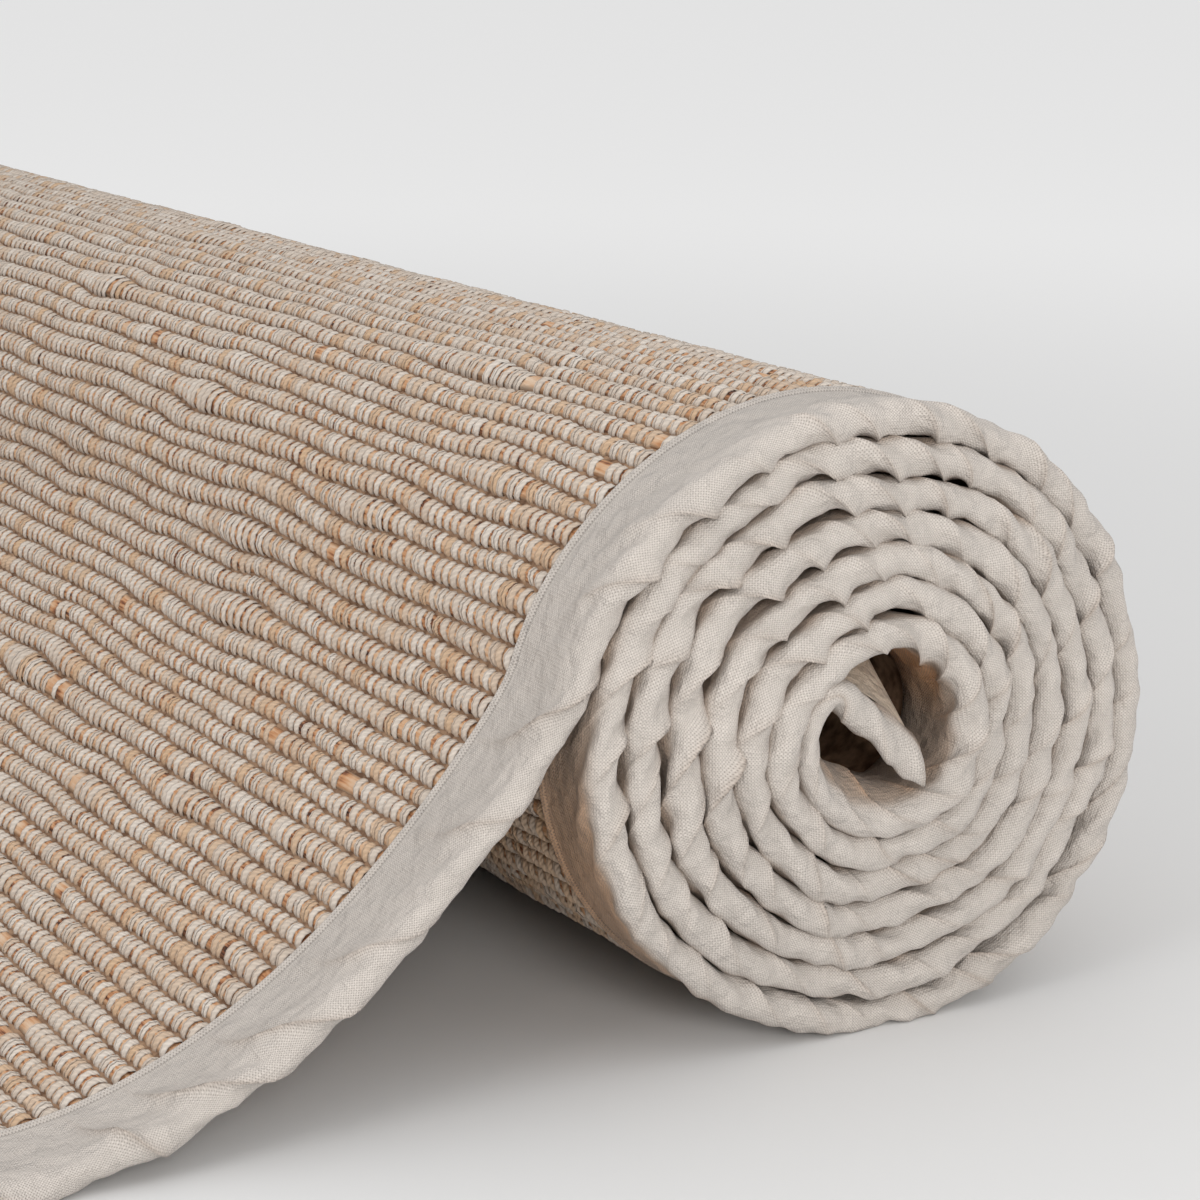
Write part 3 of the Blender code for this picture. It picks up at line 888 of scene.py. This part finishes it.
def loop_bands(name, ribs, side, angles, seed):
    """Raised bands of two or three yarns over the ribs, each three points wide."""
    rng = np.random.default_rng(seed)
    rib, y = loop_places(ribs, 0 if side > 0 else 1, rng)
    wide, high, lean_by, sway, strands, shade = rng.random((6, len(rib), 1, 1))
    middle = RIBS.read(RIBS.middle, rib, y)[:, None, None]
    half = RIBS.read(RIBS.half, rib, y)[:, None, None]
    height = RIBS.read(RIBS.height, rib, y)[:, None, None]
    over = np.linspace(-1.0, 1.0, angles)[None, :, None]
    angle = LOOP_ARC * over
    across = np.array([-1.0, 0.0, 1.0])[None, None, :]
    width = LOOP_PITCH * (LOOP_HALF_SHARE + LOOP_HALF_CHANCE * wide)
    width = width * (LOOP_END_WIDTH + LOOP_TOP_WIDER * np.cos(angle))
    top = LOOP_RISE * (LOOP_RISE_LEAST + LOOP_RISE_CHANCE * high)
    lift = np.where(across == 0.0, top, -LOOP_EDGE_SINK)
    s = middle + (half + LOOP_BULGE * lift) * np.sin(angle)
    rise = side * ((height + lift) * np.cos(angle) + LOOP_LIFT)
    slant = LOOP_SLANT + LOOP_SLANT_CHANCE * (lean_by - 0.5)
    depth = y[:, None, None] + across * width + slant * np.sin(angle)
    depth = depth + LOOP_SWAY * (sway - 0.5) * np.cos(2.0 * angle)
    points = place(s, depth, rise)
    strand = 0.5 * np.where(strands > THREE_STRANDS_FROM, 3.0, 2.0) * (across + 1.0)
    # Under the loose end the loops lean to the lowest, orange yarn tone: painted warm shade, and more fibre
    # showing through there.
    under = bell(LINE.turn(middle), *UNDER_PAINTED_WARM_SHADE[1:])
    values = np.stack(np.broadcast_arrays(strand, over, shade * (1.0 - LOOP_WARM_SHADE_AND_FIBRE * under)), axis=-1)
    quads = repeated(grid_quads(angles, 3), 3 * angles, len(rib))
    if side < 0:
        quads = quads[:, ::-1]
    return add_mesh(name, points, quads, YARN, {"yarn": values})


def ground_cloth():
    """The mat itself under its ribs, one thin sheet from its outer end to its inner end."""
    last = LINE.end - GROUND_END_MARGIN
    s = np.append(np.arange(LINE.start + GROUND_MARGIN, last, GROUND_STEP), last)
    y = np.concatenate([
        np.linspace(GROUND_MARGIN, BINDING_WIDTH, 5),
        np.linspace(GROUND_MIDDLE_FROM, MAT_WIDTH - GROUND_MIDDLE_FROM, 6),
        MAT_WIDTH - np.linspace(BINDING_WIDTH, GROUND_MARGIN, 3),
    ])
    half = GROUND_HALF * (1.0 - 0.5 * core_thinning(LINE.turn(s)))[:, None]
    upper = place(s[:, None], y[None, :], half)
    lower = place(s[:, None], y[None, ::-1], -half)
    points = np.concatenate([upper, lower], axis=1)
    rows, columns = points.shape[:2]
    quads = [grid_quads(rows, columns, wrap=True)]
    for first, turn in ((0, 1), ((rows - 1) * columns, -1)):
        near = first + np.arange(len(y) - 1)
        far = first + columns - 1 - np.arange(len(y) - 1)
        quads.append(np.stack([near, near + 1, far - 1, far], axis=1)[:, ::turn])
    piece = add_mesh("mat_ground", points, np.concatenate(quads), GROUND)
    return piece, s[-1] - s[0], y[-1] - y[0]


# The cotton binding.


def section(v):
    """The strip's section: v runs from one hem, over the nose at 0, to the other. Gives depth and rise."""
    size = np.abs(v)
    angle = np.minimum(size / NOSE_RADIUS, 0.5 * math.pi)
    past = np.maximum(size - NOSE_ARC, 0.0)
    depth = NOSE_RADIUS * (1.0 - np.cos(angle)) + past
    rise = NOSE_RADIUS * np.sin(angle) - FACE_DROP * smooth(past / FACE_DROP_OVER)
    rise = rise + bump(depth, PIPING)
    rise = rise - bump(depth, PIPING_GROOVE)
    rise = rise - HEM_DROP * smooth((depth - BINDING_WIDTH + HEM_DROP_EARLY) / HEM_DROP_OVER)
    depth = np.minimum(depth, HEM_END)
    return depth, np.where(v < 0.0, rise, -rise)


def section_normal(v):
    """The way out of the cloth at this place of its section, as depth and rise."""
    ahead, ahead_rise = section(v + SLOPE_STEP)
    behind, behind_rise = section(v - SLOPE_STEP)
    run = np.hypot(ahead - behind, ahead_rise - behind_rise) + 1e-9
    return (ahead_rise - behind_rise) / run, -(ahead - behind) / run


def held_at_hem(v):
    """1 on the strip's faces, and 0 at the stitching of its hems, where it can't sag or stand out."""
    return smooth((BINDING_WIDTH + HELD_TO - np.abs(v)) / HELD_OVER)


class Tucks:
    """Slanting tucks that the stitching draws up in a strip, and the cloth that sags between them.

    Behind each tuck the cloth falls gently, and in front of the next one it rises steeply.
    The rows of the strip's mesh follow the tucks' slant.
    """

    def __init__(self, seed, low, high):
        rng = np.random.default_rng(seed)
        places = [low - TUCK_OVERRUN]
        while places[-1] < high + TUCK_OVERRUN:
            places.append(places[-1] + rng.uniform(*tuck_spacing(places[-1])))
        self.places = np.array(places)
        count = len(places)
        least, greatest = tuck_height(self.places)
        self.heights = least + (greatest - least) * rng.random(count) ** LOW_TUCKS_POWER
        self.slopes = rng.uniform(*TUCK_SLOPES, count)
        wound = risen(self.places, ROLL_TUCK_RISE)
        loose = 1.0 - wound
        self.centres = MM * (rng.uniform(*TUCK_CENTRES, count) * wound - LOOSE_TUCK_CENTRE * loose)
        self.reaches = MM * (rng.uniform(*TUCK_REACHES, count) + LOOSE_TUCK_REACH * loose)
        phases = rng.uniform(0.0, 2.0 * math.pi, 12)
        self.wrinkle_phases = phases[:WRINKLES]
        self.swell_phases = phases[WRINKLES + 1:]

    def rows(self, steps):
        """The tuck before each row of the mesh, and how far the row is on the way to the next tuck."""
        index = np.repeat(np.arange(len(self.places) - 1), len(steps))
        part = np.tile(steps, len(self.places) - 1)
        return index[:, None], part[:, None]

    def follow(self, index, part, v):
        """Where each row crosses the strip at v."""
        place_on = self.places[index] * (1.0 - part) + self.places[index + 1] * part
        slope = self.slopes[index] * (1.0 - part) + self.slopes[index + 1] * part
        return place_on + slope * TUCK_SLANT_DEPTH * np.tanh(v / TUCK_SLANT_DEPTH)

    def share(self, index, v):
        """How much of a tuck's height is left at v: most near the nose, a little on to the hem."""
        return TUCK_AT_CENTRE * bell(v, self.centres[index], self.reaches[index]) + TUCK_AT_HEM

    def shape(self, index, part, v):
        """How far the cloth sags in, less than 0 on a tuck, and its push along the strip and the painted
        shade in its creases.
        """
        gap = self.places[index + 1] - self.places[index]
        since = part * gap
        left = (1.0 - part) * gap
        before = self.heights[index] * self.share(index, v)
        after = self.heights[index + 1] * self.share(index + 1, v)
        steep = STEEP_SHARE * np.exp(-since / STEEP_TAIL)
        gentle = GENTLE_SHARE * np.exp(-since / (GENTLE_TAIL * gap))
        ridge = before * (steep + gentle) + after * np.exp(-left / FRONT_TAIL)
        sag = SAG * (before + after) * np.sin(math.pi * part ** SAG_SKEW)
        push = PUSH * after * bell(left, PUSH_PLACE, PUSH_REACH)
        # Painted shade, darkest at the foot of each tuck.
        shade = (before * np.exp(-since / SHADE_TAIL) + after * np.exp(-left / SHADE_FRONT)) / SHADE_HEIGHT
        return sag - ridge, push, np.clip(shade, 0.0, 1.0)

    def wrinkle(self, s, v):
        """Small soft wrinkles and slow swelling, from a few crossed waves."""
        total = 0.0
        for number, phase in enumerate(self.wrinkle_phases):
            length = WRINKLE_LENGTH + WRINKLE_LENGTH_STEP * number
            slope = WRINKLE_SLOPE + WRINKLE_SLOPE_STEP * number
            total = total + np.sin(2.0 * math.pi * (s - slope * v) / length + phase) / WRINKLES
        total = WRINKLE * total
        for slope, length, phase in zip(SWELL_SLOPES, SWELL_LENGTHS, self.swell_phases):
            total = total + SWELL * np.sin(2.0 * math.pi * (s - slope * v) / length + phase)
        return total


def tuck_spacing(s):
    """The least and greatest distance between the tucks: wider on the loose end."""
    wound = float(risen(s, ROLL_RISE))
    return tuple(size - less * wound for size, less in zip(LOOSE_SPACING, SPACING_LESS_ON_ROLL))


def tuck_height(s):
    """The least and greatest height of the tucks: a little higher on the loose end."""
    wound = risen(s, ROLL_RISE)
    return tuple(MM * (size - less * wound) for size, less in zip(LOOSE_HEIGHT, HEIGHT_LESS_ON_ROLL))


def strip_share(s, v):
    """How thick the binding is: flatter on the loose end and on the innermost turn.

    Its edge is full again at the tongue.
    """
    wound = LOOSE_THICKNESS + ROLL_THICKER * risen(s, ROLL_THICKER_RISE)
    tongue = risen(s - LINE.wound_length, TONGUE_FULL_RISE)
    tongue = tongue * smooth((TONGUE_FULL_TO - np.abs(v)) / TONGUE_FULL_FADE)
    return wound * (1.0 - CORE_THINNER * core_thinning(LINE.turn(s)) * (1.0 - tongue))


def tuck_share(s):
    """The tucks are highest at the roll's upper left, and low on the tongue."""
    t = LINE.turn(s)
    wound = TUCK_MEAN + TUCK_SWING * np.cos(turn_angle(t) - TUCK_HIGHEST)
    wound = 1.0 + (wound - 1.0) * risen(t, TUCK_SWING_RISE)
    return wound * (1.0 - TONGUE_TUCKS_LESS * smooth((s - LINE.wound_length) / TONGUE_TUCKS_OVER))


def corner_share(s):
    """The strip closes at the mat's two ends, as a rounded corner."""
    near = np.clip(np.minimum(s - LINE.start, LINE.end - s) / CORNER, 0.0, 1.0)
    return np.sqrt(1.0 - (1.0 - near) ** 2)


def painted_warm_shade(s, v):
    """Painted warm shade on the cotton, for light that passes through and bounces in the cloth: in the core,
    between turns, under the loose end.
    """
    t = LINE.turn(s)
    core = bump(t, CORE_PAINTED_WARM_SHADE) * risen(v, CORE_PAINTED_WARM_SHADE_RISE)
    under = bump(t, UNDER_PAINTED_WARM_SHADE) * risen(-v, UNDER_PAINTED_WARM_SHADE_RISE)
    between = BETWEEN_PAINTED_WARM_SHADE * risen(np.abs(v), BETWEEN_PAINTED_WARM_SHADE_RISE) * risen(t, BETWEEN_PAINTED_WARM_SHADE_TURN_RISE)
    return np.maximum(np.maximum(core, under), between)


def side_binding(name, far, columns, steps, seed):
    """The cotton strip along one side of the mat, from its outer corner to its inner one."""
    tucks = Tucks(seed, LINE.start, LINE.end)
    index, part = tucks.rows(steps)
    v = columns[None, :]
    s = tucks.follow(index, part, v)
    used = (s.max(axis=1) > LINE.start) & (s.min(axis=1) < LINE.end)
    index, part, s = index[used], part[used], np.clip(s[used], LINE.start, LINE.end)
    sunk, push, shade = tucks.shape(index, part, v)
    held = held_at_hem(v)
    loose = WRINKLE_AT_HEM + WRINKLE_AT_EDGE * bell(v, 0.0, WRINKLE_REACH)
    thinned = risen(s, INNER_EDGE_RISE) * bump(v, INNER_EDGE_THINNED)
    sunk = (sunk * tuck_share(s) + tucks.wrinkle(s, v) * loose + thinned) * held
    share = strip_share(s, v)
    depth, rise = section(v)
    out_depth, out_rise = section_normal(v)
    depth = depth - out_depth * sunk * share
    rise = (rise - out_rise * sunk) * share * corner_share(s)
    rise = rise - bump(LINE.turn(s), CORE_PUFF) * risen(v, CORE_PUFF_RISE) * held
    points = place(np.clip(s + push * held, LINE.start, LINE.end), depth, rise, far)
    # The third value is the painted shade: half the tucks' crease shade, with the painted warm shade added.
    values = np.stack(np.broadcast_arrays(s, v, 0.5 * shade + painted_warm_shade(s, v)), axis=-1)
    quads = grid_quads(*points.shape[:2])
    if not far:
        quads = quads[:, ::-1]
    return add_mesh(name, points, quads, COTTON, {"cloth": values})


def outer_end_binding():
    """The strip across the mat's outer end, its ends tucked under the side strips."""
    low = END_STRIP_TUCKED
    high = MAT_WIDTH - END_STRIP_TUCKED
    tucks = Tucks(END_STRIP_SEED, low, high)
    index, part = tucks.rows(FAR_STEPS)
    v = FAR_COLUMNS[None, :]
    y = tucks.follow(index, part, v)
    used = (y.max(axis=1) > low) & (y.min(axis=1) < high)
    index, part, y = index[used], part[used], np.clip(y[used], low, high)
    sunk, _, shade = tucks.shape(index, part, v)
    sunk = (END_TUCK_SHARE * sunk + tucks.wrinkle(y, v)) * held_at_hem(v)
    depth, rise = section(v)
    out_depth, out_rise = section_normal(v)
    points = place(LINE.start + depth - out_depth * sunk, y, END_STRIP_SHARE * (rise - out_rise * sunk))
    # The third value is the painted shade at the tucks' creases.
    values = np.stack(np.broadcast_arrays(y, v, shade), axis=-1)
    quads = grid_quads(*points.shape[:2])
    return add_mesh("end_binding_outer", points, quads, COTTON, {"cloth": values})


def inner_end_binding():
    """The strip across the mat's inner end: the smooth tongue in the open core."""
    y = np.concatenate([
        np.linspace(TONGUE_SIDE_MARGIN, TONGUE_FINE_TO, 70),
        np.linspace(TONGUE_COARSE_FROM, MAT_WIDTH - TONGUE_SIDE_MARGIN, 160),
    ])[:, None]
    v = np.concatenate([-TONGUE_HALF_COLUMNS[::-1], [0.0], TONGUE_HALF_COLUMNS])[None, :]
    edge = np.minimum(y, MAT_WIDTH - y)
    half = TONGUE_HALF - TONGUE_HALF_LESS * risen(edge, TONGUE_THIN_RISE)
    angle = np.minimum(np.abs(v) / half, 0.5 * math.pi)
    depth = half * (1.0 - np.cos(angle)) + np.maximum(np.abs(v) - half * 0.5 * math.pi, 0.0)
    rise = half * np.sin(angle) * np.where(v < 0.0, 1.0, -1.0)
    sway = TONGUE_RIPPLE_SWAY * np.sin(depth / TONGUE_RIPPLE_SWAY_LENGTH)
    ripple = TONGUE_RIPPLE * np.sin(y / TONGUE_RIPPLE_LENGTH + sway) * risen(depth, TONGUE_RIPPLE_RISE)
    points = place(LINE.end - TONGUE_END_GAP - depth, y, rise + ripple)
    # The whole tongue takes a little of the painted crease shade.
    values = np.stack(np.broadcast_arrays(y, v, TONGUE_PAINTED_SHADE), axis=-1)
    quads = grid_quads(*points.shape[:2])[:, ::-1]
    return add_mesh("end_binding_inner", points, quads, COTTON_CORE, {"cloth": values})


# The stage.


def make_floor():
    """A plain pale floor, a little paler far off: painted shade darkens it near the roll."""
    mesh = bpy.data.meshes.new("floor")
    reach = FLOOR_REACH
    corners = [(-reach, -reach, 0), (reach, -reach, 0), (reach, reach, 0), (-reach, reach, 0)]
    mesh.from_pydata(corners, [], [(0, 1, 2, 3)])
    g = Graph("floor_grey", roughness=0.9)
    distance = g.node("ShaderNodeVectorMath", operation="LENGTH")
    g.feed(distance.inputs[0], g.node("ShaderNodeTexCoord").outputs["Object"])
    far = g.ramped(distance.outputs["Value"], *FLOOR_PAINTED_SHADE_FADE)
    mesh.materials.append(g.finish(g.mix(far, FLOOR_NEAR_PAINTED_SHADE, FLOOR_FAR_TONE)))
    floor = bpy.data.objects.new("floor", mesh)
    bpy.context.scene.collection.objects.link(floor)


def make_sky():
    """A white room that is brightest overhead."""
    world = bpy.data.worlds.new("studio")
    world.use_nodes = True
    tree = world.node_tree
    parts = tree.nodes.new("ShaderNodeSeparateXYZ")
    height = tree.nodes.new("ShaderNodeMapRange")
    height.inputs["To Min"].default_value = SKY_LOW
    height.inputs["To Max"].default_value = SKY_HIGH
    tree.links.new(tree.nodes.new("ShaderNodeTexCoord").outputs["Generated"], parts.inputs[0])
    tree.links.new(parts.outputs["Z"], height.inputs["Value"])
    tree.links.new(height.outputs[0], tree.nodes["Background"].inputs["Strength"])
    tree.nodes["Background"].inputs["Color"].default_value = (1.0, 1.0, 1.0, 1.0)
    bpy.context.scene.world = world
    bpy.context.scene.view_settings.view_transform = "Standard"


def add_light(name, place_at, size, power, colour):
    """A square soft light that faces the roll's near end."""
    data = bpy.data.lights.new(name, "AREA")
    data.size = size
    data.energy = power
    data.color = colour
    light = bpy.data.objects.new(name, data)
    light.location = (CENTRE_X + place_at[0], NEAR_Y + place_at[1], place_at[2])
    target = (CENTRE_X, NEAR_Y + LIGHT_TARGET_DEPTH, LIGHT_TARGET_HEIGHT)
    away = [light.location[axis] - target[axis] for axis in range(3)]
    flat = math.hypot(away[0], away[1])
    light.rotation_euler = (math.atan2(flat, away[2]), 0.0, math.atan2(away[0], -away[1]))
    bpy.context.scene.collection.objects.link(light)


def make_camera():
    data = bpy.data.cameras.new("camera")
    data.lens = CAMERA_LENS
    data.sensor_width = CAMERA_SENSOR
    data.sensor_height = CAMERA_SENSOR
    data.clip_start = 0.01
    camera = bpy.data.objects.new("camera", data)
    camera.location = (CENTRE_X + CAMERA_PLACE[0], NEAR_Y + CAMERA_PLACE[1], ROLL_HEIGHT + CAMERA_PLACE[2])
    camera.rotation_euler = (math.radians(90.0 - CAMERA_PITCH), 0.0, math.radians(-CAMERA_YAW))
    bpy.context.scene.collection.objects.link(camera)
    bpy.context.scene.camera = camera


# The pieces.


def make_field():
    """The woven field: the ground cloth, with ribs and loops where the mat's faces show."""
    half_way = (LOOSE_RIBS + RIBS.count) // 2
    left = range(LOOSE_RIBS, half_way)
    right = range(half_way, RIBS.count)
    loose = range(LOOSE_RIBS)
    ground, length, width = ground_cloth()
    pieces = [
        rib_bodies("ribs_roll", range(LOOSE_RIBS, RIBS.count), side=1, steps=95, around=5),
        rib_bodies("ribs_loose", loose, side=1, steps=95, around=5),
        rib_bodies("ribs_loose_under", loose, side=-1, steps=60, around=4),
        loop_bands("loops_roll_left", left, side=1, angles=6, seed=21),
        loop_bands("loops_roll_right", right, side=1, angles=6, seed=22),
        loop_bands("loops_loose", loose, side=1, angles=6, seed=23),
        loop_bands("loops_loose_under", loose, side=-1, angles=4, seed=24),
    ]
    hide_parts("roll_field", "loose_field")


def make_binding():
    """The four cotton strips, each folded round an edge of the mat."""
    near = side_binding("side_binding_near", False, NEAR_COLUMNS, NEAR_STEPS, 5)
    far = side_binding("side_binding_far", True, FAR_COLUMNS, FAR_STEPS, 6)
    outer = outer_end_binding()
    inner = inner_end_binding()
    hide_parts("roll_binding_near", "loose_binding_near")
    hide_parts("roll_binding_far", "loose_binding_far")
    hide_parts("loose_binding_end")
    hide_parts("core_binding")


make_camera()
make_sky()
for light_values in LIGHTS:
    add_light(*light_values)
make_floor()
make_field()
make_binding()
